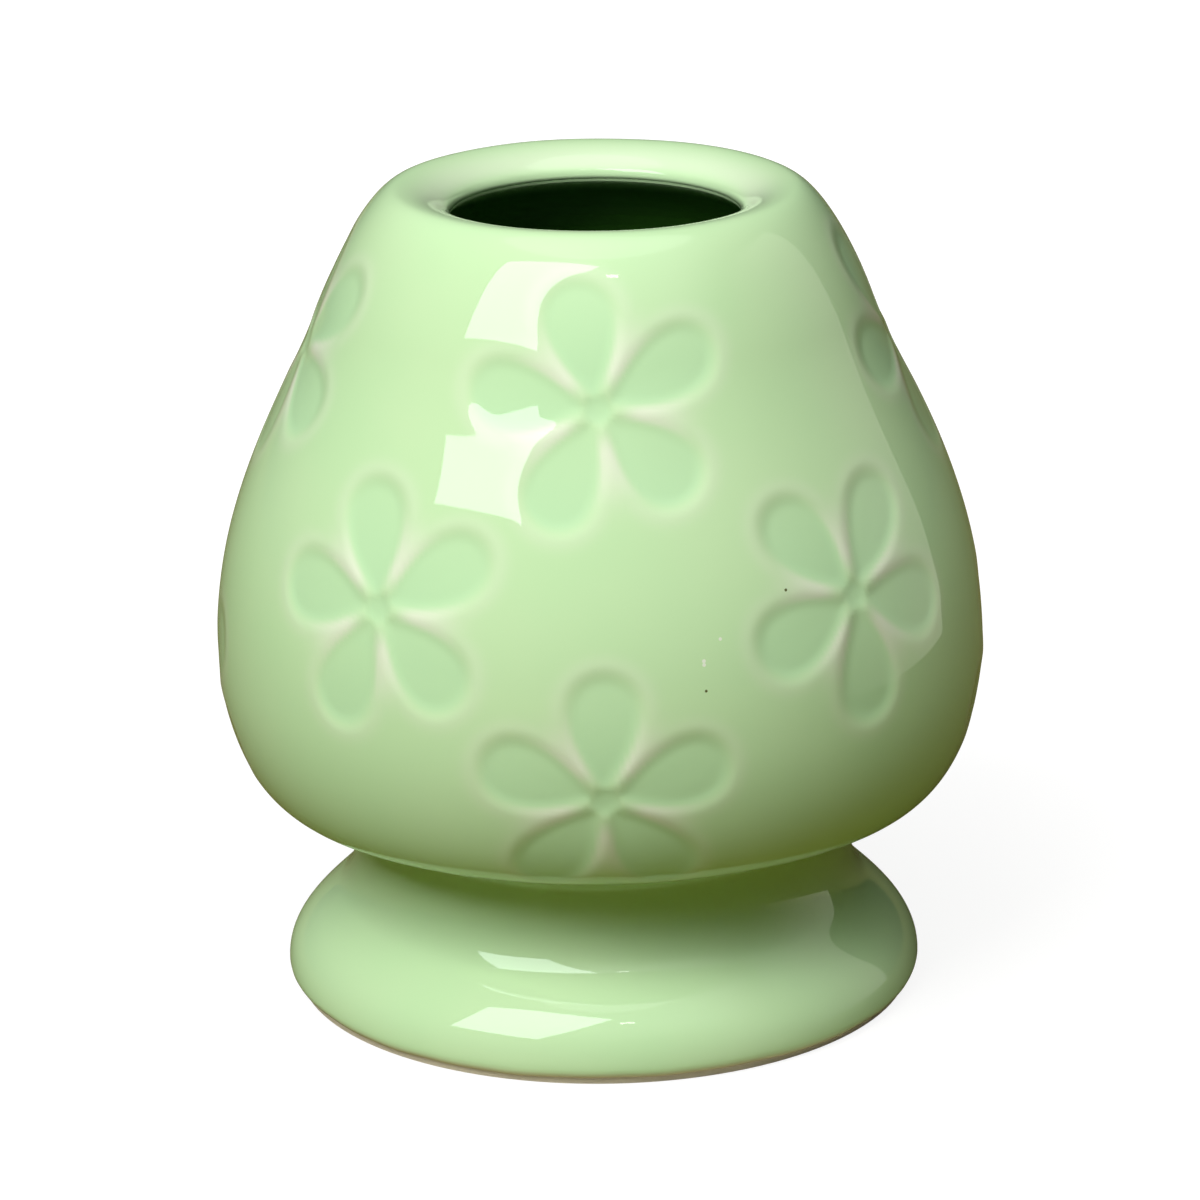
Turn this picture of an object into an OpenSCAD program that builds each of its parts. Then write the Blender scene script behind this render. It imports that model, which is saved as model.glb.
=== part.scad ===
// Whisk stand: a pear-shaped stoneware bulb on a waisted, flared foot, glazed inside and out.
// Millimetres, +Z up, origin at the centre of the standing ring on the axis.
// Every section is turned about Z. The driving curve is the glazed surface, which runs from the
// drain hole up the inside, over the lip and down the outside to the foot. Clay lies to its right.

/* [Bulb] */
// Overall height
height = 70.4; // [58:0.1:90]
// Widest diameter of the bulb
body_d = 66; // [55:0.5:80]
// Height of the widest line
belly_z = 30.7; // [27:0.1:36]
// Diameter of the shoulder, where the rim turns into the side
shoulder_d = 46.8; // [40:0.2:54]
// Drop from the top to the shoulder
shoulder_drop = 9.6; // [7:0.1:13]
// Steepness of the side at the shoulder, degrees below level
shoulder_slope = 68.5; // [60:0.5:78]
// How far inside the widest line the belly turns under
under_inset = 4.6; // [3:0.1:5]
// Height of the underside there
under_z = 18.4; // [17.8:0.1:21]
// Fall of the underside towards the neck, degrees below level
under_slope = 20; // [10:0.5:24]

/* [Mouth] */
// Clear diameter of the mouth, which takes the whisk's inner tines
mouth_d = 24.6; // [20:0.1:31]
// Width of the rolled rim, from the mouth to its crest
rim_w = 4.4; // [3:0.1:5]
// Height of the rounded lip above the straight land
lip_h = 2; // [1:0.1:3]
// Length of the straight land inside the mouth
land_h = 0.5; // [0.4:0.1:2.5]

/* [Waist and foot] */
// Diameter of the neck at its narrowest
waist_d = 42.4; // [35:0.2:45]
// Height of the narrowest line
waist_z = 14.9; // [13:0.1:15.4]
// How far outside the neck the foot starts to spread
flare_w = 1.95; // [1:0.05:3]
// Height there
flare_z = 8.2; // [6:0.1:10]
// Slope of the foot there, degrees below level
flare_slope = 45.5; // [35:0.5:60]
// Widest diameter of the foot
foot_d = 55.2; // [52:0.2:68]
// Height of the foot's widest line
foot_edge_z = 1.7; // [1.4:0.1:2.6]
// How far inside the foot's widest line the bare standing ring starts
ring_inset = 0.9; // [0.8:0.1:3]
// Width of the standing ring
ring_w = 4.2; // [2.5:0.1:6]
// Height at which the outer glaze stops
bare_h = 0.7; // [0.4:0.1:1]

/* [Walls] */
// Thickness of the bulb's clay wall
wall = 3; // [2:0.1:4]
// Thickness of the bulb's floor
floor_t = 3; // [2:0.1:4]
// Thickness of the foot's clay at the waist
foot_wall = 3.6; // [2.5:0.1:5]
// Thickness of the joining slip between bulb and foot
slip_t = 0.6; // [0.3:0.1:1]
// Diameter of the drain hole in the floor
drain_d = 8; // [6:0.5:12]
// Height of the bulb's floor above the standing face, seen from underneath
recess_h = 17.9; // [17.9:0.1:21]
// Radius of the cove between the recess wall and the bulb's floor
cove_r = 2.4; // [1:0.1:2.4]

/* [Glaze] */
// Thickness of the coat outside and of the liner inside
glaze_t = 0.4; // [0.2:0.05:0.6]
// Thickness of the coat in the recess under the foot
recess_glaze_t = 0.3; // [0.2:0.05:0.5]
// Height of the bare band inside the standing ring
recess_bare_h = 1.8; // [1.2:0.1:3]

/* [Curve fullness] */
// Pull of the lip curve at its start and end, as a share of its chord
lip_pull = [0.12, 0.45]; // [0.1:0.01:0.6]
// Pull of the curve from the crest to the shoulder
crown_pull = [0.19, 0.36]; // [0.1:0.01:0.6]
// Pull of the side from the shoulder to the belly
side_pull = [0.36, 0.38]; // [0.2:0.01:0.6]
// Pull of the curve from the belly to the underside
under_pull = [0.55, 0.15]; // [0.1:0.01:0.6]
// Pull of the underside where it tucks into the neck
tuck_pull = [0.72, 0.12]; // [0.1:0.01:0.8]
// Pull of the neck where it opens
neck_pull = [0.37, 0.27]; // [0.1:0.01:0.6]
// Pull of the foot down to its edge
foot_pull = [0.33, 0.35]; // [0.1:0.01:0.6]
// Pull of the floor curve inside the bulb
bowl_pull = [0.68, 0.26]; // [0.1:0.01:0.8]
// Pull of the curve under the rim inside the bulb
throat_pull = [0.62, 0.08]; // [0.05:0.01:0.7]

/* [Hidden] */
$fn = 180;

clay_colour = [0.90, 0.86, 0.78];
slip_colour = [0.80, 0.72, 0.62];
coat_colour = [0.72, 0.88, 0.66];
liner_colour = [0.35, 0.55, 0.25];
recess_colour = [0.66, 0.82, 0.60];

// Directions of travel along the section, as [r, z]
up = [0, 1];
down = [0, -1];
inward = [-1, 0];
outward = [1, 0];
function below_level(a) = [cos(a), -sin(a)];

// A curve between two points, with a direction at each end and a pull as a share of the chord
function span(p, p_dir, q, q_dir, pull, steps) =
    let (chord = norm(q - p))
    [p, p + p_dir * pull[0] * chord, q - q_dir * pull[1] * chord, q, steps];
function straight(p, q) = span(p, (q - p) / norm(q - p), q, (q - p) / norm(q - p), [1 / 3, 1 / 3], 1);

// The pull at which a quarter turn is all but round
arc_pull = [0.39, 0.39];

// A point on a curve, the direction there, and the point moved off the curve to its right
function on_curve(s, t) =
    pow(1 - t, 3) * s[0] + 3 * pow(1 - t, 2) * t * s[1] + 3 * (1 - t) * pow(t, 2) * s[2] + pow(t, 3) * s[3];
function along_curve(s, t) =
    let (d = pow(1 - t, 2) * (s[1] - s[0]) + 2 * (1 - t) * t * (s[2] - s[1]) + pow(t, 2) * (s[3] - s[2]))
    d / norm(d);
function beside(s, t, gap) =
    let (d = along_curve(s, t))
    on_curve(s, t) + gap * [d[1], -d[0]];

// The points of a chain of curves, moved to the right by gap
function run(chain, gap) = concat(
    [for (s = chain) for (i = [0 : s[4] - 1]) beside(s, i / s[4], gap)],
    [beside(chain[len(chain) - 1], 1, gap)]);
function backwards(points) = [for (i = [len(points) - 1 : -1 : 0]) points[i]];

mouth_r = mouth_d / 2;
drain_r = drain_d / 2;
skin = wall + 2 * glaze_t;
lip_z = height - lip_h;
land_z = lip_z - land_h;
recess_r = waist_d / 2 - glaze_t - foot_wall;
floor_z = recess_h + floor_t + glaze_t;
ring_out_r = foot_d / 2 - ring_inset;
ring_in_r = ring_out_r - ring_w;

// Stations on the outside
crest = [mouth_r + rim_w, height];
shoulder = [shoulder_d / 2, height - shoulder_drop];
shoulder_dir = below_level(shoulder_slope);
belly = [body_d / 2, belly_z];
under = [body_d / 2 - under_inset, under_z];
under_dir = [-cos(under_slope), -sin(under_slope)];
waist = [waist_d / 2, waist_z];
flare = [waist_d / 2 + flare_w, flare_z];
flare_dir = below_level(flare_slope);
foot_edge = [foot_d / 2, foot_edge_z];
stop_slope = 45;
stop_inset = 0.45 * (foot_edge_z - bare_h);
glaze_stop = [foot_d / 2 - stop_inset, bare_h];
stop_dir = [-cos(stop_slope), -sin(stop_slope)];

// Stations inside: the liner runs one skin inside the outer surface at the shoulder and belly
inner_shoulder = shoulder - skin * [sin(shoulder_slope), cos(shoulder_slope)];
inner_belly = belly - [skin, 0];

liner = [
    span([drain_r, floor_z], outward, inner_belly, up, bowl_pull, 16),
    span(inner_belly, up, inner_shoulder, -shoulder_dir, [side_pull[1], side_pull[0]], 14),
    span(inner_shoulder, -shoulder_dir, [mouth_r, land_z], up, throat_pull, 12)
];

coat = [
    straight([mouth_r, land_z], [mouth_r, lip_z]),
    span([mouth_r, lip_z], up, crest, outward, lip_pull, 10),
    span(crest, outward, shoulder, shoulder_dir, crown_pull, 14),
    span(shoulder, shoulder_dir, belly, down, side_pull, 18),
    span(belly, down, under, under_dir, under_pull, 16),
    span(under, under_dir, waist, down, tuck_pull, 12),
    span(waist, down, flare, flare_dir, neck_pull, 10),
    span(flare, flare_dir, foot_edge, down, foot_pull, 12),
    span(foot_edge, down, glaze_stop, stop_dir, arc_pull, 4)
];

// The recess under the foot, from the top of its bare band to the drain hole
recess_lean = 18;
recess_start = [ring_in_r - recess_bare_h * tan(recess_lean), recess_bare_h];
recess_dir = [-sin(recess_lean), cos(recess_lean)];
recess = [
    span(recess_start, recess_dir, [recess_r, waist_z], up, arc_pull, 12),
    straight([recess_r, waist_z], [recess_r, recess_h - cove_r]),
    span([recess_r, recess_h - cove_r], up, [recess_r - cove_r, recess_h], inward, arc_pull, 8),
    straight([recess_r - cove_r, recess_h], [drain_r, recess_h])
];

// All the clay in one section; the joint at the waist divides it
module clay_section() {
    polygon(concat(
        run(concat(liner, coat), glaze_t),
        [[ring_out_r, 0], [ring_in_r, 0]],
        run(recess, 0)));
}

// The band of the section between two heights
module clay_between(z_low, z_high) {
    intersection() {
        clay_section();
        translate([0, z_low]) square([body_d, z_high - z_low]);
    }
}

module skin_over(chain, gap_near, gap_far) {
    rotate_extrude() polygon(concat(run(chain, gap_near), backwards(run(chain, gap_far))));
}

module bulb() {
    color(clay_colour) rotate_extrude() clay_between(waist_z + slip_t / 2, height);
}

module foot() {
    color(clay_colour) rotate_extrude() clay_between(0, waist_z - slip_t / 2);
}

module luting_slip() {
    color(slip_colour) rotate_extrude() clay_between(waist_z - slip_t / 2, waist_z + slip_t / 2);
}

module outer_glaze() {
    color(coat_colour) skin_over(coat, 0, glaze_t);
}

module liner_glaze() {
    color(liner_colour) skin_over(liner, 0, glaze_t);
}

module recess_glaze() {
    color(recess_colour) skin_over(recess, -recess_glaze_t, 0);
}

bulb();
foot();
luting_slip();
outer_glaze();
liner_glaze();
recess_glaze();
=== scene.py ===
import math

import bpy
import numpy as np
from mathutils import Matrix, Vector


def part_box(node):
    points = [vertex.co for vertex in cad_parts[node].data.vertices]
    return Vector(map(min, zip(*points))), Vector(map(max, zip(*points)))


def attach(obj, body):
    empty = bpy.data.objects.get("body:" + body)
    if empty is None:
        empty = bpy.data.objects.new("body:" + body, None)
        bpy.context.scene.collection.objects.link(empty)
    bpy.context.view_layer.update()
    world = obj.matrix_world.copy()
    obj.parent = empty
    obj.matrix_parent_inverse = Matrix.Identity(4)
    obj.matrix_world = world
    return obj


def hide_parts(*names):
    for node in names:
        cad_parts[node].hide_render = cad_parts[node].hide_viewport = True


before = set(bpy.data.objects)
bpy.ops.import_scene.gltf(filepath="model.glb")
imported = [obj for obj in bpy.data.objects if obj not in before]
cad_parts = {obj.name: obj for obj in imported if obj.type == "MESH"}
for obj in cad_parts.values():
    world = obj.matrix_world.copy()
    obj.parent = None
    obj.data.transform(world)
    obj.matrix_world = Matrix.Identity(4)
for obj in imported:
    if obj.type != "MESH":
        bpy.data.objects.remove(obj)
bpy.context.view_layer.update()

mm = 0.001
coatLow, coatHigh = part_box("outer_glaze")
clayLow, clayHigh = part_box("foot")
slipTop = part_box("luting_slip")[1].z
linerLow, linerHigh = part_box("liner_glaze")
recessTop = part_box("recess_glaze")[1].z
height = (coatHigh.z - clayLow.z) / mm
bodyWidth = (coatHigh.x - coatLow.x) / mm
print("frame loaded: %.1f mm tall, %.1f mm wide" % (height, bodyWidth))

# directions in the (radius, height) plane
up = (0, 1)
down = (0, -1)
inward = (-1, 0)
outward = (1, 0)


def belowLevel(angle):
    return math.cos(math.radians(angle)), -math.sin(math.radians(angle))


# a curve with a direction at each end and pulls given as shares of its chord
def span(start, startDir, end, endDir, pull, count=200):
    a, b = np.array(start, float), np.array(end, float)
    chord = np.linalg.norm(b - a)
    c1 = a + np.array(startDir) * pull[0] * chord
    c2 = b - np.array(endDir) * pull[1] * chord
    t = np.linspace(0, 1, count, endpoint=False)[:, None]
    return (1 - t) ** 3 * a + 3 * (1 - t) ** 2 * t * c1 + 3 * (1 - t) * t ** 2 * c2 + t ** 3 * b


def runLength(points):
    return np.r_[0, np.cumsum(np.hypot(*np.diff(points, axis=0).T))]


# the same line with points at an even spacing
def respace(points, step):
    run = runLength(points)
    at = np.linspace(0, run[-1], max(3, int(round(run[-1] / step)) + 1))
    return np.c_[np.interp(at, run, points[:, 0]), np.interp(at, run, points[:, 1])]


# unit vectors square to the line, on the left of its travel: out of the clay
def sideways(points):
    d = np.gradient(points, axis=0)
    d /= np.linalg.norm(d, axis=1)[:, None]
    return np.c_[-d[:, 1], d[:, 0]]


def smooth(x):
    x = np.clip(x, 0, 1)
    return x * x * (3 - 2 * x)


def hump(x, middle, width):
    return np.exp(-((x - middle) / width) ** 2)


coat = {
    "thickness": 0.4,
    "mouthRadius": 12.3,
    "lipHeight": 2.0,
    "landLength": 0.5,
    "rimWidth": 4.4,
    "shoulderRadius": 23.4,
    "shoulderDrop": 9.6,
    "shoulderSlope": 68.5,
    "bellyHeight": 30.7,
    "underInset": 4.6,
    "underHeight": 18.4,
    "underSlope": 20,
    "waistRadius": 21.2,
    "waistHeight": 14.9,
    "flareOut": 1.95,
    "flareHeight": 8.2,
    "flareSlope": 45.5,
    "footRadius": 27.6,
    "footEdgeHeight": 1.7,
    "bareHeight": 0.7,
    "stopInset": 0.45,      # how far the glaze turns in below the foot's edge, as a share of its drop
    "stopSlope": 45,
    "landPull": (0.3, 0.3),
    "lipPull": (0.12, 0.45),
    "crownPull": (0.19, 0.36),
    "sidePull": (0.36, 0.38),
    "underPull": (0.55, 0.15),
    "tuckPull": (0.72, 0.12),
    "neckPull": (0.37, 0.27),
    "footPull": (0.33, 0.35),
    "arcPull": (0.39, 0.39),    # at this pull a quarter turn is all but round
    "rowStep": 0.34,
    "turns": 500,
    "hiddenStep": 3,        # the back of the coat and the clay keep one row in three
    "pastLip": 8,           # this far along from the mouth the coat is on the outside
    "waveHeight": 0.016,    # long shallow waves left by the casting
    "waves": [(3, 0.21, 0, 1), (7, -0.34, 1.3, 1), (2, 0.55, 0.4, 0.7)],  # lobes, climb, phase, share
    "waveStart": 2,
    "waveRise": 4,
    "swell": 0.13,          # the glaze lies a little thicker round the middle of the side
    "swellAt": 48.5,
    "swellWidth": 5,
    "edgeWander": 0.1,      # how far the glaze edge above the ring wanders up and down
    "edgeWaves": [(5, 0.6, 1), (13, 2.1, 0.6), (29, 0, 0.4)],   # lobes, phase, share
    "edgeReach": 1.6,
}


# outside of the glaze from the mouth's land over the lip and down to where it stops above the ring
def coatOutline():
    c = coat
    lip = (c["mouthRadius"], height - c["lipHeight"])
    crest = (c["mouthRadius"] + c["rimWidth"], height)
    shoulder = (c["shoulderRadius"], height - c["shoulderDrop"])
    belly = (bodyWidth / 2, c["bellyHeight"])
    under = (bodyWidth / 2 - c["underInset"], c["underHeight"])
    waist = (c["waistRadius"], c["waistHeight"])
    flare = (c["waistRadius"] + c["flareOut"], c["flareHeight"])
    edge = (c["footRadius"], c["footEdgeHeight"])
    stop = (c["footRadius"] - c["stopInset"] * (c["footEdgeHeight"] - c["bareHeight"]), c["bareHeight"])
    shoulderDir = belowLevel(c["shoulderSlope"])
    underDir = belowLevel(180 - c["underSlope"])
    flareDir = belowLevel(c["flareSlope"])
    stopDir = belowLevel(180 - c["stopSlope"])
    line = np.vstack([
        span((lip[0], lip[1] - c["landLength"]), up, lip, up, c["landPull"]),
        span(lip, up, crest, outward, c["lipPull"]),
        span(crest, outward, shoulder, shoulderDir, c["crownPull"]),
        span(shoulder, shoulderDir, belly, down, c["sidePull"]),
        span(belly, down, under, underDir, c["underPull"]),
        span(under, underDir, waist, down, c["tuckPull"]),
        span(waist, down, flare, flareDir, c["neckPull"]),
        span(flare, flareDir, edge, down, c["footPull"]),
        span(edge, down, stop, stopDir, c["arcPull"]),
        [stop],
    ])
    return respace(line, c["rowStep"])


outline = coatOutline()
across = sideways(outline)
along = runLength(outline)
outside = along > coat["pastLip"]
turnAngles = np.linspace(0, 2 * math.pi, coat["turns"], endpoint=False)
azimuth, radius = np.meshgrid(turnAngles, outline[:, 0])
distance = np.repeat(along[:, None], coat["turns"], 1)
level = np.repeat(outline[:, 1:2], coat["turns"], 1)

# azimuth and turn in degrees, height in mm; azimuth 0 faces -Y
flowers = {
    "petals": 5,
    "reach": 10.7,
    "petalStart": 0.7,
    "petalHalfWidth": 2.95,
    "centreRadius": 1.3,
    "firstCircle": 0.5,     # each petal is filled by circles: where the first one is, and how many
    "circles": 18,
    "outlineSteps": 120,
    "glazeDepth": 0.08,     # the glaze fills the stamp's corners, so its own surface is soft
    "glazeWall": 0.9,
    "clayDepth": 0.18,      # what the clay under it is pressed in further
    "clayWall": 0.9,
    "dish": 0.03,
    "ridgeStart": 1.2,      # where the ridges between petals start, from the centre
    "ridgeRise": 2.6,
    "ridgeWidth": 2.7,
    "haloOffset": 0.85,
    "haloWidth": 0.8,
    "halo": 0.22,
    "lowPoint": 0.6,        # middle of a petal, as a share of the reach
    "margin": 4,            # how far past its petals a blossom changes the glaze
    "clearOfMouth": 3,
    "nowhere": -9.0,        # depth given to points that no blossom is near
    "rows": [
        {"height": 57.8, "places": [(0, 11), (88, 20), (182, -14), (-83, 25)]},
        {"height": 41.6, "places": [(41.5, 38), (133, -8), (-132, 18), (-35, 15)]},
        {"height": 27.3, "places": [(0.4, 0), (92, 24), (178, 9), (-90, 25)]},
    ],
}


# circles that together fill one petal: how far along it each one's centre is, and its radius
def petalCircles():
    f = flowers
    length = f["reach"] - f["petalStart"]
    t = np.linspace(0, 1, f["outlineSteps"])
    fullest = 1.5 * math.sqrt(3)    # makes the widest part of t * sqrt(1 - t) equal to 1
    halfWidth = f["petalHalfWidth"] * t * np.sqrt(1 - t) * fullest
    edge = f["petalStart"] + length * t
    centres = np.linspace(f["petalStart"] + f["firstCircle"], f["reach"] - f["petalHalfWidth"], f["circles"])
    return [(c, np.hypot(edge - c, halfWidth).min()) for c in centres]


petalFill = petalCircles()


# distance into one petal that points along the unit vector (ax, ay), below 0 outside it
def petalDepth(u, v, ax, ay):
    p, q = u * ax + v * ay, v * ax - u * ay
    return np.max([r - np.hypot(p - c, q) for c, r in petalFill], axis=0)


# for every point of the surface: depth into the nearest petal or centre, how much of a ridge between
# petals it is, and how far below the middle of its petal it lies
def blossoms():
    f = flowers
    inside = np.full(radius.shape, f["nowhere"])
    ridge = np.zeros(radius.shape)
    low = np.zeros(radius.shape)
    onBody = (level > coat["waistHeight"]) & (distance > f["clearOfMouth"])
    for row in f["rows"]:
        rowAt = np.interp(-row["height"], -outline[outside, 1], along[outside])
        for place, turn in row["places"]:
            away = (np.degrees(azimuth) - place + 180) % 360 - 180
            u = np.radians(away) * radius
            v = rowAt - distance
            near = (np.hypot(u, v) < f["reach"] + f["margin"]) & onBody
            un, vn = u[near], v[near]
            fromCentre = np.hypot(un, vn)
            best = f["centreRadius"] - fromCentre
            fall = np.zeros(un.shape)
            depths = []
            for k in range(f["petals"]):
                a = math.radians(90 + turn + 360 / f["petals"] * k)
                d = petalDepth(un, vn, math.cos(a), math.sin(a))
                below = math.sin(a) * f["reach"] * f["lowPoint"] - vn
                fall = np.where(d > best, below / f["petalHalfWidth"], fall)
                best = np.maximum(best, d)
                depths.append(d)
            gap = np.sort(depths, axis=0)[-2:].sum(0)
            between = hump(gap, 0, f["ridgeWidth"]) * smooth((fromCentre - f["ridgeStart"]) / f["ridgeRise"])
            inside[near] = np.maximum(inside[near], best)
            ridge[near] = np.maximum(ridge[near], between)
            low[near] = np.where(best > 0, fall, low[near])
    return inside, ridge, low


inside, ridge, low = blossoms()


def step(depth, wall):
    return depth * smooth((inside + wall) / (2 * wall))


# how far the glaze stands out from the plain outline: casting waves, clear of the mouth, and the swell
def castWaves():
    c = coat
    total = sum(share * np.sin(lobes * azimuth + climb * level + phase)
                for lobes, climb, phase, share in c["waves"])
    total = c["waveHeight"] * total * smooth((distance - c["waveStart"]) / c["waveRise"])
    return total + c["swell"] * hump(level, c["swellAt"], c["swellWidth"])


push = step(flowers["glazeDepth"], flowers["glazeWall"])
push += flowers["dish"] * smooth(inside / flowers["petalHalfWidth"])
deeper = step(flowers["clayDepth"], flowers["clayWall"])
waves = castWaves()
print("blossoms pressed: glaze %.2f mm, clay %.2f mm deep" % (push.max(), (push + deeper).max()))


# the glaze edge above the standing ring is not quite level
def wander():
    c = coat
    share = smooth((distance - along[-1] + c["edgeReach"]) / c["edgeReach"])
    wave = sum(part * np.sin(lobes * azimuth + phase) for lobes, phase, part in c["edgeWaves"])
    return c["edgeWander"] * share * wave / sum(part for lobes, phase, part in c["edgeWaves"])


# a grid of (radius, height) offset from the coat's outline by gap, towards the air
def offsetCoat(gap, rows=slice(None)):
    r = (radius + across[:, 0:1] * gap)[rows]
    z = (level + across[:, 1:2] * gap + wander())[rows]
    return r, z


def places(r, z):
    return np.stack([r * np.sin(turnAngles), -r * np.cos(turnAngles), z], -1) * mm


tiny = 1e-12    # keeps a zero length from dividing
creaseAngle = 50    # degrees


# normals of a closed grid of points
def gridNormals(points):
    alongRows = np.roll(points, -1, 0) - np.roll(points, 1, 0)
    alongTurn = np.roll(points, -1, 1) - np.roll(points, 1, 1)
    n = np.cross(alongRows, alongTurn)
    return n / np.maximum(np.linalg.norm(n, axis=-1), tiny)[..., None]


# a closed tube of a mesh from a grid of (radius, height); marks are values on its points
def turned(name, r, z, marks=None):
    rows, turns = r.shape
    points = places(r, z)
    i = np.arange(rows)[:, None]
    j = np.arange(turns)[None, :]
    ni, nj = (i + 1) % rows, (j + 1) % turns
    quads = np.stack([i * turns + j, ni * turns + j, ni * turns + nj, i * turns + nj], -1).reshape(-1, 4)
    mesh = bpy.data.meshes.new(name)
    mesh.vertices.add(rows * turns)
    mesh.vertices.foreach_set("co", points.astype(np.float32).ravel())
    mesh.loops.add(quads.size)
    mesh.loops.foreach_set("vertex_index", quads.astype(np.int32).ravel())
    mesh.polygons.add(len(quads))
    mesh.polygons.foreach_set("loop_start", np.arange(0, quads.size, 4, dtype=np.int32))
    mesh.update(calc_edges=True)
    mesh.validate()
    mesh.shade_smooth()
    for key, values in (marks or {}).items():
        vector = values.ndim == 3
        layer = mesh.attributes.new(key, "FLOAT_VECTOR" if vector else "FLOAT", "POINT")
        layer.data.foreach_set("vector" if vector else "value", values.astype(np.float32).ravel())
    mesh.set_sharp_from_angle(angle=math.radians(creaseAngle))
    piece = bpy.data.objects.new(name, mesh)
    bpy.context.scene.collection.objects.link(piece)
    return piece


# the hidden side's rows, from the foot back up to the mouth
backRows = slice(None, None, -coat["hiddenStep"])

# where the glaze runs thin or pools, and the painted highlight on the inner lip: lengths in mm, lean in
# degrees, the rest shares
glazeFlow = {
    "thinStart": -0.3,      # depth into a petal where the thin glaze gives way
    "thinFade": 0.7,
    "poolStart": -0.4,
    "poolFade": 1.1,
    "poolDepth": 0.75,
    "poolFall": 0.2,        # how much more of it lies at the low side of a petal
    "poolLeast": 0.4,
    "toastedFade": 0.9,     # along the coat, up from its edge above the ring
    # a band round the inner slope of the lip: partly glaze running thin on the rounded lip, partly a painted
    # highlight for the bright arc along the inner lip
    "lipLean": 60,
    "lipSpread": 16,
    "lipDrop": 2.5,
    "lipRun": 6,
    "lipThinAndHighlight": 0.4,
}


def outerGlaze():
    c, f = coat, glazeFlow
    frontR, frontZ = offsetCoat(waves - push)
    backR, backZ = offsetCoat(-c["thickness"] - push - deeper, backRows)
    clayR, clayZ = offsetCoat(-push - deeper)
    lean = np.degrees(np.arctan2(across[:, 1], -across[:, 0]))[:, None]
    # the lip band is partly thin glaze and partly a painted highlight along the inner lip
    lipEdge = hump(lean, f["lipLean"], f["lipSpread"])
    lipEdge = lipEdge * (level > height - f["lipDrop"]) * (distance < f["lipRun"])
    halo = flowers["halo"] * hump(inside, -flowers["haloOffset"], flowers["haloWidth"])
    thinAndHighlight = np.maximum(ridge, halo) * (1 - smooth((inside - f["thinStart"]) / f["thinFade"]))
    thinAndHighlight = np.maximum(thinAndHighlight, f["lipThinAndHighlight"] * lipEdge)
    pool = smooth((inside - f["poolStart"]) / f["poolFade"])
    pool = pool * np.clip(f["poolDepth"] + f["poolFall"] * low, f["poolLeast"], 1)
    edge = smooth((distance - along[-1] + f["toastedFade"]) / f["toastedFade"])
    blank = np.zeros_like(backR)
    r, z = np.vstack([frontR, backR]), np.vstack([frontZ, backZ])
    pressed = gridNormals(places(np.vstack([clayR, backR]), np.vstack([clayZ, backZ])))
    marks = {
        "pool": np.vstack([pool, blank]),
        "thinAndHighlight": np.vstack([thinAndHighlight, blank]),
        "edge": np.vstack([edge, blank]),
        "pressed": pressed,
    }
    piece = turned("outerGlaze", r, z, marks)
    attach(piece, "root")
    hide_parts("outer_glaze")
    return piece


bulbShell = {
    "wall": 3.0,
    "neckWall": 3.6,
    "drainRadius": 4.0,
    "coveRadius": 2.4,
    "coveSteps": 8,
    "wallStep": 1.2,
    "bowlPull": (0.68, 0.26),
    "throatPull": (0.62, 0.08),
}


# the clay of the bulb under the glaze, with the blossoms pressed into it
def bulbClay():
    c, b = coat, bulbShell
    t = c["thickness"]
    joint = slipTop / mm
    onBulb = outline[:, 1] > joint
    outR, outZ = offsetCoat(-t - push - deeper)
    outR, outZ = outR[onBulb][::c["hiddenStep"]], outZ[onBulb][::c["hiddenStep"]]
    skin = b["wall"] + 2 * t
    lean = math.radians(c["shoulderSlope"])
    shoulder = (c["shoulderRadius"] - skin * math.sin(lean),
                height - c["shoulderDrop"] - skin * math.cos(lean))
    belly = (bodyWidth / 2 - skin, c["bellyHeight"])
    floorTop = linerLow.z / mm + t
    ceiling = recessTop / mm
    wallRadius = c["waistRadius"] - t - b["neckWall"]
    cove = b["coveRadius"]
    fall = belowLevel(c["shoulderSlope"])
    climb = (-fall[0], -fall[1])
    landBottom = (c["mouthRadius"], height - c["lipHeight"] - c["landLength"])
    hollow = np.vstack([
        span((b["drainRadius"], floorTop), outward, belly, up, b["bowlPull"]),
        span(belly, up, shoulder, climb, c["sidePull"][::-1]),
        span(shoulder, climb, landBottom, up, b["throatPull"]),
        [landBottom],
    ])
    hollow = respace(hollow, b["wallStep"])
    hollow = hollow - sideways(hollow) * t
    under = np.vstack([
        [(wallRadius, joint)],
        span((wallRadius, ceiling - cove), up, (wallRadius - cove, ceiling), inward,
             c["arcPull"], b["coveSteps"]),
        [(wallRadius - cove, ceiling), (b["drainRadius"], ceiling)],
    ])
    inner = np.vstack([under, hollow])
    innerR = np.repeat(inner[:, 0:1], c["turns"], 1)
    innerZ = np.repeat(inner[:, 1:2], c["turns"], 1)
    piece = turned("bulbClay", np.vstack([outR, innerR]), np.vstack([outZ, innerZ]))
    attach(piece, "root")
    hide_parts("bulb")
    return piece


# an empty node group with named sockets, and its two end nodes
def newGroup(name, inputs, outputs):
    tree = bpy.data.node_groups.new(name, "ShaderNodeTree")
    for kind, label, value in inputs:
        socket = tree.interface.new_socket(name=label, in_out="INPUT", socket_type="NodeSocket" + kind)
        socket.default_value = value
    for kind, label in outputs:
        tree.interface.new_socket(name=label, in_out="OUTPUT", socket_type="NodeSocket" + kind)
    return tree, tree.nodes.new("NodeGroupInput"), tree.nodes.new("NodeGroupOutput")


# links a socket to another one, or sets it to a plain value
def feed(tree, socket, value):
    if isinstance(value, bpy.types.NodeSocket):
        tree.links.new(value, socket)
    else:
        socket.default_value = value


def mixColour(tree, a, b, factor):
    mix = tree.nodes.new("ShaderNodeMix")
    mix.data_type = "RGBA"
    for label, value in (("A", a), ("B", b), ("Factor", factor)):
        feed(tree, mix.inputs[label], value)
    return mix.outputs["Result"]


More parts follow.
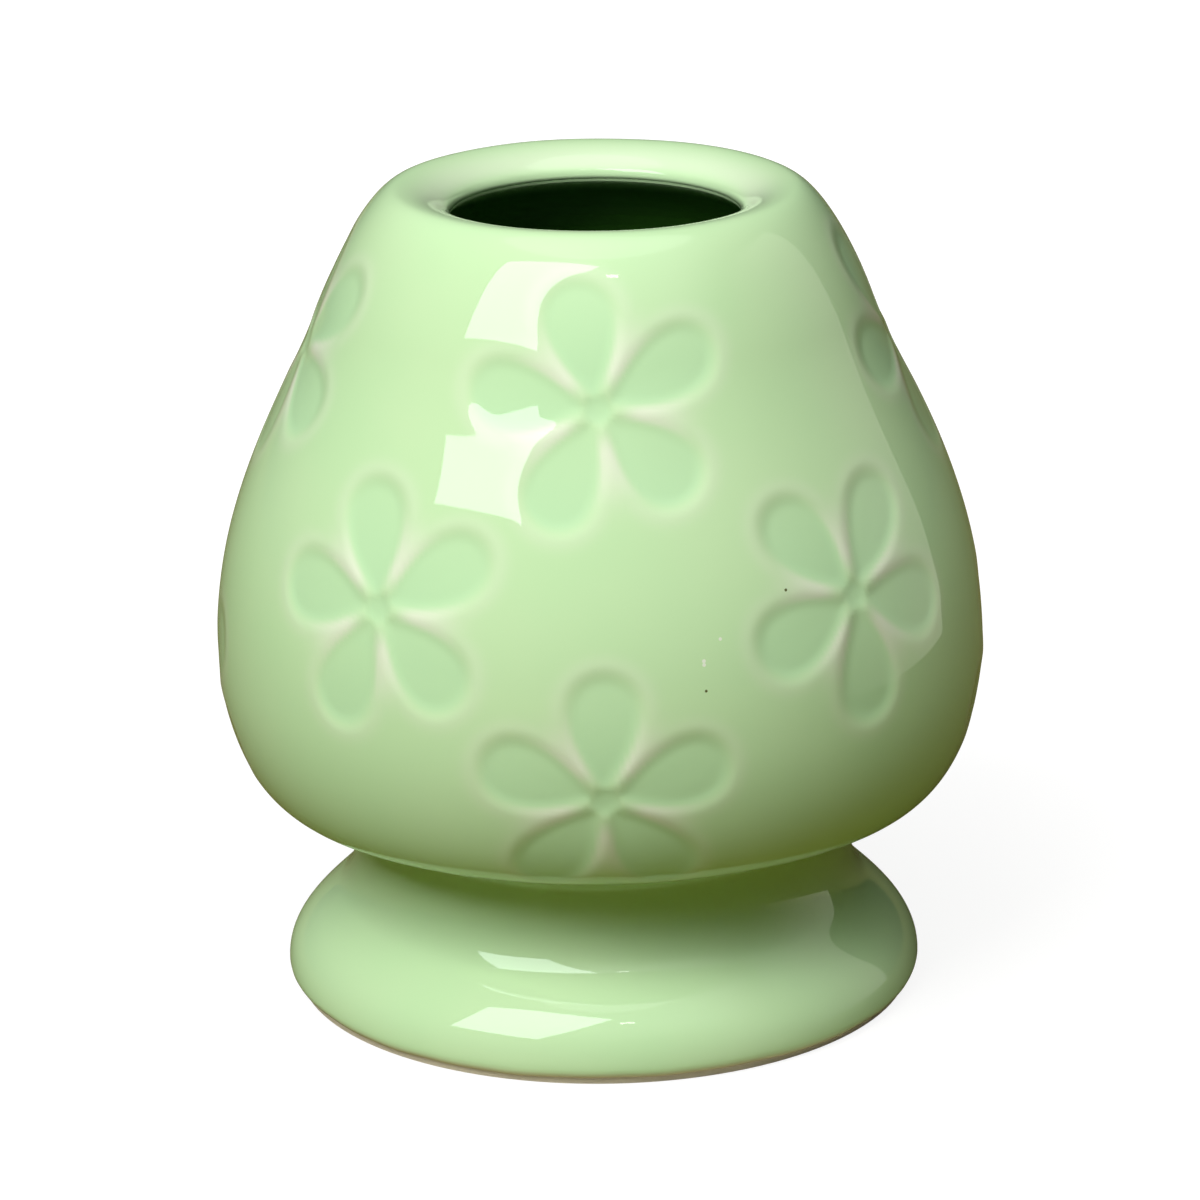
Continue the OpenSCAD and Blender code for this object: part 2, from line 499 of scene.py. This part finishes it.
def compute(tree, operation, a, b):
    node = tree.nodes.new("ShaderNodeMath")
    node.operation = operation
    feed(tree, node.inputs[0], a)
    feed(tree, node.inputs[1], b)
    return node.outputs["Value"]


# goes from first to last while value goes from begin to finish
def ramp(tree, value, begin, finish, first=0, last=1, eased=True):
    node = tree.nodes.new("ShaderNodeMapRange")
    node.interpolation_type = "SMOOTHSTEP" if eased else "LINEAR"
    for label, given in (("Value", value), ("From Min", begin), ("From Max", finish),
                         ("To Min", first), ("To Max", last)):
        feed(tree, node.inputs[label], given)
    return node.outputs["Result"]


driftCloud = {"detail": 2, "low": 0.35, "high": 0.7}


# slow drift of the glaze between its own colour and a tint, as it runs thicker and thinner
def driftGroup():
    tree, start, end = newGroup("glazeDrift", [
        ("Color", "Colour", (1, 1, 1, 1)), ("Color", "Tint", (1, 1, 1, 1)),
        ("Float", "Amount", 0.3), ("Float", "Scale", 80)], [("Color", "Colour")])
    where = tree.nodes.new("ShaderNodeTexCoord")
    cloud = tree.nodes.new("ShaderNodeTexNoise")
    cloud.inputs["Detail"].default_value = driftCloud["detail"]
    tree.links.new(where.outputs["Object"], cloud.inputs["Vector"])
    tree.links.new(start.outputs["Scale"], cloud.inputs["Scale"])
    spread = ramp(tree, cloud.outputs["Fac"], driftCloud["low"], driftCloud["high"], eased=False)
    share = compute(tree, "MULTIPLY", spread, start.outputs["Amount"])
    tinted = mixColour(tree, start.outputs["Colour"], start.outputs["Tint"], share)
    tree.links.new(tinted, end.inputs["Colour"])
    return tree


# pinholes and iron specks scattered through the glaze
def pinholeGroup():
    tree, start, end = newGroup("glazePinholes", [
        ("Color", "Colour", (1, 1, 1, 1)), ("Color", "Speck", (0.1, 0.1, 0.05, 1)),
        ("Float", "Scale", 220), ("Float", "Size", 0.05), ("Float", "Share", 0.1)],
        [("Color", "Colour"), ("Float", "Mask")])
    where = tree.nodes.new("ShaderNodeTexCoord")
    cells = tree.nodes.new("ShaderNodeTexVoronoi")
    tree.links.new(where.outputs["Object"], cells.inputs["Vector"])
    tree.links.new(start.outputs["Scale"], cells.inputs["Scale"])
    small = compute(tree, "LESS_THAN", cells.outputs["Distance"], start.outputs["Size"])
    picked = tree.nodes.new("ShaderNodeSeparateColor")
    tree.links.new(cells.outputs["Color"], picked.inputs["Color"])
    rare = compute(tree, "LESS_THAN", picked.outputs["Red"], start.outputs["Share"])
    mask = compute(tree, "MULTIPLY", small, rare)
    tree.links.new(mask, end.inputs["Mask"])
    specked = mixColour(tree, start.outputs["Colour"], start.outputs["Speck"], mask)
    tree.links.new(specked, end.inputs["Colour"])
    return tree


grainLook = {"detail": 4, "lineScale": 350, "lineDistortion": 1.5, "lineHeight": 0.4, "darkness": 0.5}


# fired clay: fine grain and faint turning lines, as a colour and as a height
def grainGroup():
    tree, start, end = newGroup("clayGrain", [
        ("Color", "Colour", (1, 1, 1, 1)), ("Color", "Dark", (0.3, 0.2, 0.1, 1)),
        ("Float", "Scale", 1500)], [("Color", "Colour"), ("Float", "Height")])
    where = tree.nodes.new("ShaderNodeTexCoord")
    grain = tree.nodes.new("ShaderNodeTexNoise")
    grain.inputs["Detail"].default_value = grainLook["detail"]
    tree.links.new(where.outputs["Object"], grain.inputs["Vector"])
    tree.links.new(start.outputs["Scale"], grain.inputs["Scale"])
    lines = tree.nodes.new("ShaderNodeTexWave")
    lines.wave_type = "RINGS"
    lines.rings_direction = "Z"
    lines.inputs["Scale"].default_value = grainLook["lineScale"]
    lines.inputs["Distortion"].default_value = grainLook["lineDistortion"]
    tree.links.new(where.outputs["Object"], lines.inputs["Vector"])
    ridges = compute(tree, "MULTIPLY", lines.outputs["Fac"], grainLook["lineHeight"])
    tree.links.new(compute(tree, "ADD", grain.outputs["Fac"], ridges), end.inputs["Height"])
    share = compute(tree, "MULTIPLY", grain.outputs["Fac"], grainLook["darkness"])
    darkened = mixColour(tree, start.outputs["Colour"], start.outputs["Dark"], share)
    tree.links.new(darkened, end.inputs["Colour"])
    return tree


# a round mark at one place on the surface
def spotGroup():
    tree, start, end = newGroup("glazeSpot", [
        ("Color", "Colour", (1, 1, 1, 1)), ("Color", "Mark", (0, 0, 0, 1)),
        ("Vector", "Place", (0, 0, 0)), ("Float", "Radius", 0.0003)], [("Color", "Colour")])
    where = tree.nodes.new("ShaderNodeTexCoord")
    apart = tree.nodes.new("ShaderNodeVectorMath")
    apart.operation = "DISTANCE"
    tree.links.new(where.outputs["Object"], apart.inputs[0])
    tree.links.new(start.outputs["Place"], apart.inputs[1])
    near = compute(tree, "LESS_THAN", apart.outputs["Value"], start.outputs["Radius"])
    marked = mixColour(tree, start.outputs["Colour"], start.outputs["Mark"], near)
    tree.links.new(marked, end.inputs["Colour"])
    return tree


# passes from the lip's colour to the liner's dark colour, partly painted shade, as it goes down the inside
def lipFadeGroup():
    tree, start, end = newGroup("lipFade", [
        ("Color", "Colour", (0.1, 0.3, 0.05, 1)), ("Color", "Lip", (0.6, 0.8, 0.5, 1)),
        ("Float", "Top", 0.068), ("Float", "Depth", 0.002)], [("Color", "Colour")])
    where = tree.nodes.new("ShaderNodeTexCoord")
    axes = tree.nodes.new("ShaderNodeSeparateXYZ")
    tree.links.new(where.outputs["Object"], axes.inputs["Vector"])
    drop = compute(tree, "SUBTRACT", start.outputs["Top"], axes.outputs["Z"])
    share = ramp(tree, drop, 0, start.outputs["Depth"])
    faded = mixColour(tree, start.outputs["Lip"], start.outputs["Colour"], share)
    tree.links.new(faded, end.inputs["Colour"])
    return tree


groups = {
    "drift": driftGroup(),
    "pinholes": pinholeGroup(),
    "grain": grainGroup(),
    "spot": spotGroup(),
    "lipFade": lipFadeGroup(),
}


# places a group in a material and sets or links its named inputs
def useGroup(tree, key, **values):
    node = tree.nodes.new("ShaderNodeGroup")
    node.node_tree = groups[key]
    for label, value in values.items():
        socket = node.inputs[label]
        plainColour = isinstance(value, tuple) and socket.type == "RGBA"
        feed(tree, socket, (*value, 1) if plainColour else value)
    return node.outputs


def newMaterial(name):
    m = bpy.data.materials.new(name)
    m.use_nodes = True
    return m.node_tree, m.node_tree.nodes["Principled BSDF"], m


def mark(tree, key):
    node = tree.nodes.new("ShaderNodeAttribute")
    node.attribute_name = key
    return node


celadon = {
    "body": (0.60, 0.84, 0.495),
    "drift": (0.54, 0.82, 0.46),
    "pooled": (0.54, 0.82, 0.49),
    # pale colour of thin glaze on ridges and round petals; on the inner lip it is also a painted highlight
    "thinAndHighlight": (0.83, 0.89, 0.73),
    "toasted": (0.50, 0.42, 0.27),
    "speck": (0.12, 0.14, 0.05),
    "chip": (0.86, 0.92, 0.80),
    "roughness": 0.6,
    "coatRoughness": 0.03,
    "ior": 1.5,
    "drifting": {"Amount": 0.5, "Scale": 70.0},
    "pinholes": {"Scale": 190.0, "Size": 0.035, "Share": 0.012},
    "spots": [
        {"azimuth": 29.0, "height": 43.2, "radius": 0.13, "mark": "speck"},
        {"azimuth": 15.0, "height": 36.2, "radius": 0.12, "mark": "speck"},
        {"azimuth": 17.6, "height": 40.2, "radius": 0.14, "mark": "chip"},
        {"azimuth": 14.9, "height": 38.6, "radius": 0.16, "mark": "chip"},
        {"azimuth": 14.9, "height": 38.3, "radius": 0.15, "mark": "chip"},
    ],
}


# the point of the surface at an azimuth and a height, in metres
def onSurface(azimuthDegrees, z):
    r = np.interp(-z, -outline[outside, 1], outline[outside, 0])
    a = math.radians(azimuthDegrees)
    return r * math.sin(a) * mm, -r * math.cos(a) * mm, z * mm


def celadonMaterial():
    c = celadon
    tree, bsdf, m = newMaterial("celadonGlaze")
    colour = useGroup(tree, "drift", Colour=c["body"], Tint=c["drift"], **c["drifting"])["Colour"]
    # pooled glaze, thin glaze with the painted lip highlight, and the toasted edge above the ring
    for shade, key in (("pooled", "pool"), ("thinAndHighlight", "thinAndHighlight"), ("toasted", "edge")):
        colour = mixColour(tree, colour, (*c[shade], 1), mark(tree, key).outputs["Fac"])
    colour = useGroup(tree, "pinholes", Colour=colour, Speck=c["speck"], **c["pinholes"])["Colour"]
    for spot in c["spots"]:
        place = onSurface(spot["azimuth"], spot["height"])
        colour = useGroup(tree, "spot", Colour=colour, Mark=c[spot["mark"]], Place=place,
                          Radius=spot["radius"] * mm)["Colour"]
    tree.links.new(colour, bsdf.inputs["Base Color"])
    turn = tree.nodes.new("ShaderNodeVectorTransform")
    turn.vector_type = "NORMAL"
    turn.convert_from = "OBJECT"
    turn.convert_to = "WORLD"
    tree.links.new(mark(tree, "pressed").outputs["Vector"], turn.inputs["Vector"])
    tree.links.new(turn.outputs["Vector"], bsdf.inputs["Normal"])
    bsdf.inputs["Roughness"].default_value = c["roughness"]
    bsdf.inputs["Specular IOR Level"].default_value = 0
    bsdf.inputs["Coat Weight"].default_value = 1
    bsdf.inputs["Coat Roughness"].default_value = c["coatRoughness"]
    bsdf.inputs["Coat IOR"].default_value = c["ior"]
    return m


liningLook = {
    # near-black green of the glaze inside the bulb: partly its own deeper glaze, partly painted shade for
    # the dim inside
    "liner": (0.05, 0.20, 0.02),
    "recess": (0.48, 0.70, 0.40),
    "deeper": 0.8,
    "speck": (0.08, 0.10, 0.03),
    "roughness": 0.4,
    "fadeDepth": 1.6,       # mm below the mouth where the lip's colour has given way
    "drifting": {"Amount": 0.8, "Scale": 110.0},
    "pinholes": {"Scale": 260.0, "Size": 0.06, "Share": 0.05},
}


# the plainer glaze inside the bulb and under the foot
def liningMaterial(name, colour, lipTop=None):
    look = liningLook
    tree, bsdf, m = newMaterial(name)
    tint = tuple(v * look["deeper"] for v in colour)
    shade = useGroup(tree, "drift", Colour=colour, Tint=tint, **look["drifting"])["Colour"]
    shade = useGroup(tree, "pinholes", Colour=shade, Speck=look["speck"], **look["pinholes"])["Colour"]
    if lipTop:
        shade = useGroup(tree, "lipFade", Colour=shade, Lip=celadon["body"], Top=lipTop,
                         Depth=look["fadeDepth"] * mm)["Colour"]
    tree.links.new(shade, bsdf.inputs["Base Color"])
    bsdf.inputs["Roughness"].default_value = look["roughness"]
    bsdf.inputs["IOR"].default_value = celadon["ior"]
    return m


clayLook = {
    "clay": (0.62, 0.58, 0.46),
    "clayDark": (0.46, 0.38, 0.27),
    "slip": (0.50, 0.40, 0.29),
    "slipDark": (0.36, 0.27, 0.18),
    "clayGrain": 1500.0,
    "slipGrain": 900.0,
    "roughness": 0.8,
    "grainHeight": 0.06,
}


def clayMaterial(name, colour, dark, scale):
    look = clayLook
    tree, bsdf, m = newMaterial(name)
    grain = useGroup(tree, "grain", Colour=colour, Dark=dark, Scale=scale)
    tree.links.new(grain["Colour"], bsdf.inputs["Base Color"])
    bump = tree.nodes.new("ShaderNodeBump")
    bump.inputs["Distance"].default_value = look["grainHeight"] * mm
    tree.links.new(grain["Height"], bump.inputs["Height"])
    tree.links.new(bump.outputs["Normal"], bsdf.inputs["Normal"])
    bsdf.inputs["Roughness"].default_value = look["roughness"]
    return m


glazePiece = outerGlaze()
glazePiece.data.materials.append(celadonMaterial())
clay = clayMaterial("bareClay", clayLook["clay"], clayLook["clayDark"], clayLook["clayGrain"])
slip = clayMaterial("joiningSlip", clayLook["slip"], clayLook["slipDark"], clayLook["slipGrain"])
clayPiece = bulbClay()
clayPiece.data.materials.append(clay)
print("glaze and bulb turned")

carriedOver = {
    "foot": clay,
    "luting_slip": slip,
    "liner_glaze": liningMaterial("linerGlaze", liningLook["liner"], linerHigh.z),
    "recess_glaze": liningMaterial("recessGlaze", liningLook["recess"]),
}
for node, material in carriedOver.items():
    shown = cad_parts[node]
    shown.data.materials.clear()
    shown.data.materials.append(material)
print("carried-over nodes finished")

view = {
    "target": 33.65,
    "distance": 450,
    "elevation": 18.2,
    "roll": 0.67,
    "lens": 156.7,
    "sensor": 36,
}


def addCamera():
    v = view
    tilt, roll = math.radians(v["elevation"]), math.radians(v["roll"])
    look = Vector((0, math.cos(tilt), -math.sin(tilt)))
    right = Vector((1, 0, 0))
    top = Vector((0, math.sin(tilt), math.cos(tilt)))
    cameraRight = right * math.cos(roll) - top * math.sin(roll)
    cameraTop = right * math.sin(roll) + top * math.cos(roll)
    data = bpy.data.cameras.new("camera")
    data.lens = v["lens"]
    data.sensor_width = v["sensor"]
    camera = bpy.data.objects.new("camera", data)
    bpy.context.scene.collection.objects.link(camera)
    place = Vector((0, 0, v["target"])) - look * v["distance"]
    camera.matrix_world = placed(cameraRight, cameraTop, -look, place)
    bpy.context.scene.camera = camera


def placed(x, y, z, placeInMm):
    m = Matrix((x, y, z)).transposed().to_4x4()
    m.translation = Vector(placeInMm) * mm
    return m


# place and size in mm; aim is the azimuth and elevation its light goes to, and twist turns it about that
lamps = [
    {"name": "windowLamp", "place": (-554, -588, 900), "aim": (178.3, -20), "twist": -25.7,
     "size": (897, 606), "radiance": 9.1, "colour": (1, 1, 0.98), "glossy": False},
    {"name": "smallLamp", "place": (63, -355, 510), "aim": (190, -53), "twist": 0,
     "size": (44, 15), "radiance": 10, "colour": (1, 1, 1), "glossy": True},
    {"name": "backFill", "place": (-225, 840, 270), "aim": (15, -15), "twist": 0,
     "size": (700, 500), "radiance": 2.0, "colour": (1, 1, 1), "glossy": False},
]

# what the gloss sees of the window: azimuth and elevation of its corners, and how far off it is
windowPane = {
    "corners": [(-60, 27.2), (-26, 30.3), (3, 58.5), (-60, 53)],
    "distance": 1200,
    "height": 40,
    "radiance": 6.4,
    "colour": (0.88, 1, 1),
}

# lit panels whose edges fade over so many mm: low and high side across, then up; gloss is the share of
# their light that reflections see
glows = [
    {"name": "softBox", "place": (101, -278, 669), "aim": (-160, -65), "size": (1100, 1100),
     "radiance": 1.75, "gloss": 0.45, "colour": (1, 1, 0.95), "fadeX": (400, 400), "fadeY": (400, 400),
     "lightsUp": True},
    {"name": "sidePanel", "place": (178, -10, 106), "aim": (-90, 0), "size": (174, 212),
     "radiance": 0.8, "gloss": 1, "colour": (1, 1, 0.85), "fadeX": (150, 0), "fadeY": (0, 0),
     "lightsUp": False},
]


def aimed(azimuthDegrees, elevation):
    a, e = math.radians(azimuthDegrees), math.radians(elevation)
    return Vector((math.sin(a) * math.cos(e), -math.cos(a) * math.cos(e), math.sin(e)))


def facing(aim, place, twist=0):
    away = -aimed(*aim)
    side = Vector((0, 0, 1)).cross(away).normalized()
    top = away.cross(side)
    turn = math.radians(twist)
    x = side * math.cos(turn) + top * math.sin(turn)
    y = -side * math.sin(turn) + top * math.cos(turn)
    return placed(x, y, away, place)


def addLamp(lamp):
    data = bpy.data.lights.new(lamp["name"], "AREA")
    data.shape = "RECTANGLE"
    data.size, data.size_y = lamp["size"][0] * mm, lamp["size"][1] * mm
    data.color = lamp["colour"]
    data.energy = lamp["radiance"] * math.pi * data.size * data.size_y
    shown = bpy.data.objects.new(lamp["name"], data)
    bpy.context.scene.collection.objects.link(shown)
    shown.matrix_world = facing(lamp["aim"], lamp["place"], lamp["twist"])
    shown.visible_camera = False
    shown.visible_glossy = lamp["glossy"]


# a light that a ray passes through, so that nothing behind it goes dark; also its strength socket
def clearGlow(name, colour):
    m = bpy.data.materials.new(name)
    m.use_nodes = True
    tree = m.node_tree
    tree.nodes.clear()
    out = tree.nodes.new("ShaderNodeOutputMaterial")
    light = tree.nodes.new("ShaderNodeEmission")
    light.inputs["Color"].default_value = (*colour, 1)
    clear = tree.nodes.new("ShaderNodeBsdfTransparent")
    both = tree.nodes.new("ShaderNodeAddShader")
    tree.links.new(light.outputs["Emission"], both.inputs[0])
    tree.links.new(clear.outputs["BSDF"], both.inputs[1])
    tree.links.new(both.outputs["Shader"], out.inputs["Surface"])
    return m, light.inputs["Strength"]


def addPane():
    w = windowPane
    middle = Vector((0, 0, w["height"]))
    corners = [aimed(*corner) * w["distance"] + middle for corner in w["corners"]]
    pane = flatPanel("windowPane", corners)
    m, strength = clearGlow("windowPane", w["colour"])
    strength.default_value = w["radiance"]
    pane.data.materials.append(m)
    pane.visible_camera = False
    pane.visible_diffuse = False
    pane.visible_shadow = False


def addGlow(g):
    w, h = g["size"][0] / 2, g["size"][1] / 2
    panel = flatPanel(g["name"], rectangle(w, h))
    panel.matrix_world = facing(g["aim"], g["place"])
    m, strengthIn = clearGlow(g["name"], g["colour"])
    tree = m.node_tree
    where = tree.nodes.new("ShaderNodeTexCoord")
    axes = tree.nodes.new("ShaderNodeSeparateXYZ")
    tree.links.new(where.outputs["Object"], axes.inputs["Vector"])
    path = tree.nodes.new("ShaderNodeLightPath")
    strength = ramp(tree, path.outputs["Is Glossy Ray"], 0, 1, g["radiance"], g["radiance"] * g["gloss"],
                    eased=False)
    for axis, half, fades in (("X", w, g["fadeX"]), ("Y", h, g["fadeY"])):
        for end, fade in zip((-1, 1), fades):
            if fade:
                fading = ramp(tree, axes.outputs[axis], end * half * mm, end * (half - fade) * mm)
                strength = compute(tree, "MULTIPLY", fading, strength)
    tree.links.new(strength, strengthIn)
    panel.data.materials.append(m)
    panel.visible_camera = False
    panel.visible_diffuse = g["lightsUp"]
    panel.visible_shadow = False


studio = {
    "floorSize": 6000,
    "floorPaint": 0.2,
    "floorNear": 0.87,
    "floorFar": 1.0,
    "shadowReach": 160,     # from the axis to where the floor is all white
    "bounce": (0.165, 0.16, 0.01),
    "bounceNear": (0.75, 0.72, 0.6),
    "nearWidth": 5,         # a ring of paler floor round the foot
    "ambient": 0.02,
    "table": (0.16, 0.15, 0.04),
    "dark": (0.01, 0.012, 0.006),
    "boardRadius": 1700,
    "boardHeight": 3600,
    "boardTurns": 48,
    "boardLift": 0.02,
    "tableReach": 1.1,      # as a share of the boards' radius
    "boardRoughness": 0.9,
}


# adds Is Camera Ray, Is Glossy Ray and Is Transmission Ray
def seenRays(tree):
    path = tree.nodes.new("ShaderNodeLightPath")
    total = path.outputs["Is Camera Ray"]
    for label in ("Is Glossy Ray", "Is Transmission Ray"):
        total = compute(tree, "ADD", total, path.outputs[label])
        total.node.use_clamp = True
    return total


def rectangle(halfWidth, halfDepth, z=0):
    return [(-halfWidth, -halfDepth, z), (halfWidth, -halfDepth, z),
            (halfWidth, halfDepth, z), (-halfWidth, halfDepth, z)]


def flatPanel(name, corners, quads=((0, 1, 2, 3),)):
    mesh = bpy.data.meshes.new(name)
    mesh.from_pydata([tuple(v * mm for v in c) for c in corners], [], quads)
    panel = bpy.data.objects.new(name, mesh)
    bpy.context.scene.collection.objects.link(panel)
    return panel


def addFloor():
    s = studio
    half = s["floorSize"] / 2
    floor = flatPanel("floor", rectangle(half, half, clayLow.z / mm))
    m = bpy.data.materials.new("paleFloor")
    m.use_nodes = True
    tree = m.node_tree
    tree.nodes.clear()
    out = tree.nodes.new("ShaderNodeOutputMaterial")
    pale = tree.nodes.new("ShaderNodeBsdfDiffuse")
    pale.inputs["Color"].default_value = (s["floorPaint"],) * 3 + (1,)
    where = tree.nodes.new("ShaderNodeNewGeometry")
    away = tree.nodes.new("ShaderNodeVectorMath")
    away.operation = "LENGTH"
    tree.links.new(where.outputs["Position"], away.inputs[0])
    rise = ramp(tree, away.outputs["Value"], clayHigh.x, s["shadowReach"] * mm,
                s["floorNear"], s["floorFar"])
    glow = tree.nodes.new("ShaderNodeEmission")
    tree.links.new(rise, glow.inputs["Strength"])
    both = tree.nodes.new("ShaderNodeAddShader")
    tree.links.new(pale.outputs["BSDF"], both.inputs[0])
    tree.links.new(glow.outputs["Emission"], both.inputs[1])
    deep = tree.nodes.new("ShaderNodeBsdfDiffuse")
    near = ramp(tree, away.outputs["Value"], clayHigh.x, clayHigh.x + s["nearWidth"] * mm)
    bounce = mixColour(tree, (*s["bounceNear"], 1), (*s["bounce"], 1), near)
    tree.links.new(bounce, deep.inputs["Color"])
    mix = tree.nodes.new("ShaderNodeMixShader")
    tree.links.new(seenRays(tree), mix.inputs["Fac"])
    tree.links.new(deep.outputs["BSDF"], mix.inputs[1])
    tree.links.new(both.outputs["Shader"], mix.inputs[2])
    tree.links.new(mix.outputs["Shader"], out.inputs["Surface"])
    floor.data.materials.append(m)


# dark boards that only the gloss sees, set round the object to draw its outline
def addBoards():
    s = studio
    reach = s["boardRadius"] * s["tableReach"]
    table = flatPanel("tableBoard", rectangle(reach, reach, clayLow.z / mm + s["boardLift"]))
    ring = []
    turns = s["boardTurns"]
    for k in range(turns):
        spot = aimed(360 / turns * k, 0) * s["boardRadius"]
        ring += [(spot.x, spot.y, 0), (spot.x, spot.y, s["boardHeight"])]
    last = 2 * turns
    screen = flatPanel("roundBoard", ring, [
        (2 * k, (2 * k + 2) % last, (2 * k + 3) % last, 2 * k + 1) for k in range(turns)])
    for board, colour in ((table, s["table"]), (screen, s["dark"])):
        m = bpy.data.materials.new(board.name)
        m.use_nodes = True
        bsdf = m.node_tree.nodes["Principled BSDF"]
        bsdf.inputs["Base Color"].default_value = (*colour, 1)
        bsdf.inputs["Roughness"].default_value = s["boardRoughness"]
        board.data.materials.append(m)
        board.visible_camera = False
        board.visible_diffuse = False
        board.visible_transmission = False
        board.visible_shadow = False


def addWorld():
    s = studio
    world = bpy.data.worlds.new("studio")
    bpy.context.scene.world = world
    world.use_nodes = True
    tree = world.node_tree
    soft = tree.nodes["Background"]
    soft.inputs["Strength"].default_value = s["ambient"]
    soft.inputs["Color"].default_value = (1, 1, 1, 1)
    white = tree.nodes.new("ShaderNodeBackground")
    white.inputs["Color"].default_value = (1, 1, 1, 1)
    mix = tree.nodes.new("ShaderNodeMixShader")
    tree.links.new(seenRays(tree), mix.inputs["Fac"])
    tree.links.new(soft.outputs["Background"], mix.inputs[1])
    tree.links.new(white.outputs["Background"], mix.inputs[2])
    tree.links.new(mix.outputs["Shader"], tree.nodes["World Output"].inputs["Surface"])


addCamera()
addFloor()
addBoards()
addWorld()
for lamp in lamps:
    addLamp(lamp)
addPane()
for glow in glows:
    addGlow(glow)
bpy.context.scene.view_settings.view_transform = "Standard"
print("studio lit by %d lamps and %d panels" % (len(lamps), len(glows) + 1))
